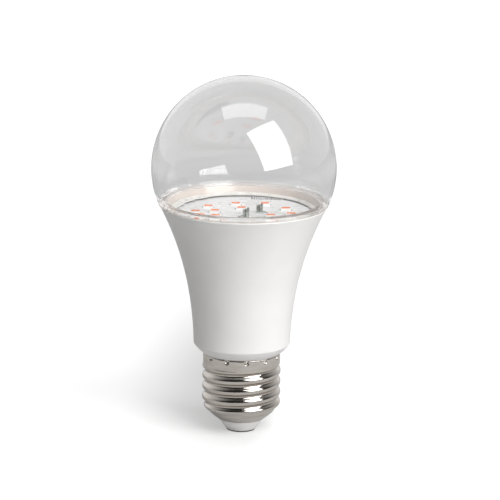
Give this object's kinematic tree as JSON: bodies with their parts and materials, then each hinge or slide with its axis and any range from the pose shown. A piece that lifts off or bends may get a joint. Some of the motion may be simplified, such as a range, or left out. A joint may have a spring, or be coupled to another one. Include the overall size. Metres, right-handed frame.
{
  "type": "led grow light bulb",
  "caption": "LED grow lamp with a clear round globe, white LED board with orange-windowed packages, flared white housing and a metal screw cap.",
  "frame": {"origin": "middle of the centre contact's outer face, on the lamp's axis", "axes": "+Z along the lamp's axis from the contact to the top of the globe; +X to the right and +Y away from the viewer in the picture"},
  "size_m": [0.0614, 0.0614, 0.1203],
  "materials": {
    "nickel_plate": "nickel-plated rolled brass, bright and slightly warm",
    "insulator_plastic": "white moulded insulator",
    "contact_metal": "plated brass contact",
    "housing_plastic": "satin white moulded PBT",
    "clear_globe": "clear polycarbonate, polished",
    "silicone": "milky silicone sealant",
    "cup_aluminium": "drawn aluminium with a knurled rim",
    "board_white": "white solder mask on a metal core",
    "led_package": "moulded white resin",
    "phosphor": "orange-red phosphor resin",
    "terminal_tin": "tinned folded spring sheet",
    "pin_tin": "tinned square pin",
    "driver_laminate": "green glass-fibre laminate",
    "capacitor_sleeve": "shrink sleeve on an aluminium can",
    "ferrite": "sintered ferrite",
    "copper_wire": "enamelled copper winding",
    "film_capacitor_coat": "dipped epoxy coat",
    "chip_moulding": "black moulding with tinned legs",
    "resistor_coat": "dipped flameproof coat",
    "live_insulation": "PVC insulation",
    "bare_lead": "tinned copper wire"
  },
  "bodies": {
    "root": {"screw_shell": "nickel_plate", "cap_insulator": "insulator_plastic", "centre_contact": "contact_metal", "housing_shell": "housing_plastic", "globe": "clear_globe", "globe_adhesive": "silicone", "heat_sink_cup": "cup_aluminium", "led_board": "board_white", "terminal_left": "terminal_tin", "terminal_right": "terminal_tin", "output_pin_left": "pin_tin", "output_pin_right": "pin_tin", "driver_board": "driver_laminate", "electrolytic_capacitor": "capacitor_sleeve", "inductor_core": "ferrite", "inductor_winding": "copper_wire", "film_capacitor": "film_capacitor_coat", "controller_chip": "chip_moulding", "bridge_rectifier": "chip_moulding", "fuse_resistor": "resistor_coat", "live_lead": "live_insulation", "neutral_lead": "bare_lead", "led_body_01": "led_package", "led_phosphor_01": "phosphor", "led_body_02": "led_package", "led_phosphor_02": "phosphor", "led_body_03": "led_package", "led_phosphor_03": "phosphor", "led_body_04": "led_package", "led_phosphor_04": "phosphor", "led_body_05": "led_package", "led_phosphor_05": "phosphor", "led_body_06": "led_package", "led_phosphor_06": "phosphor", "led_body_07": "led_package", "led_phosphor_07": "phosphor", "led_body_08": "led_package", "led_phosphor_08": "phosphor", "led_body_09": "led_package", "led_phosphor_09": "phosphor", "led_body_10": "led_package", "led_phosphor_10": "phosphor", "led_body_11": "led_package", "led_phosphor_11": "phosphor", "led_body_12": "led_package", "led_phosphor_12": "phosphor", "led_body_13": "led_package", "led_phosphor_13": "phosphor", "led_body_14": "led_package", "led_phosphor_14": "phosphor"}
  },
  "joints": []
}
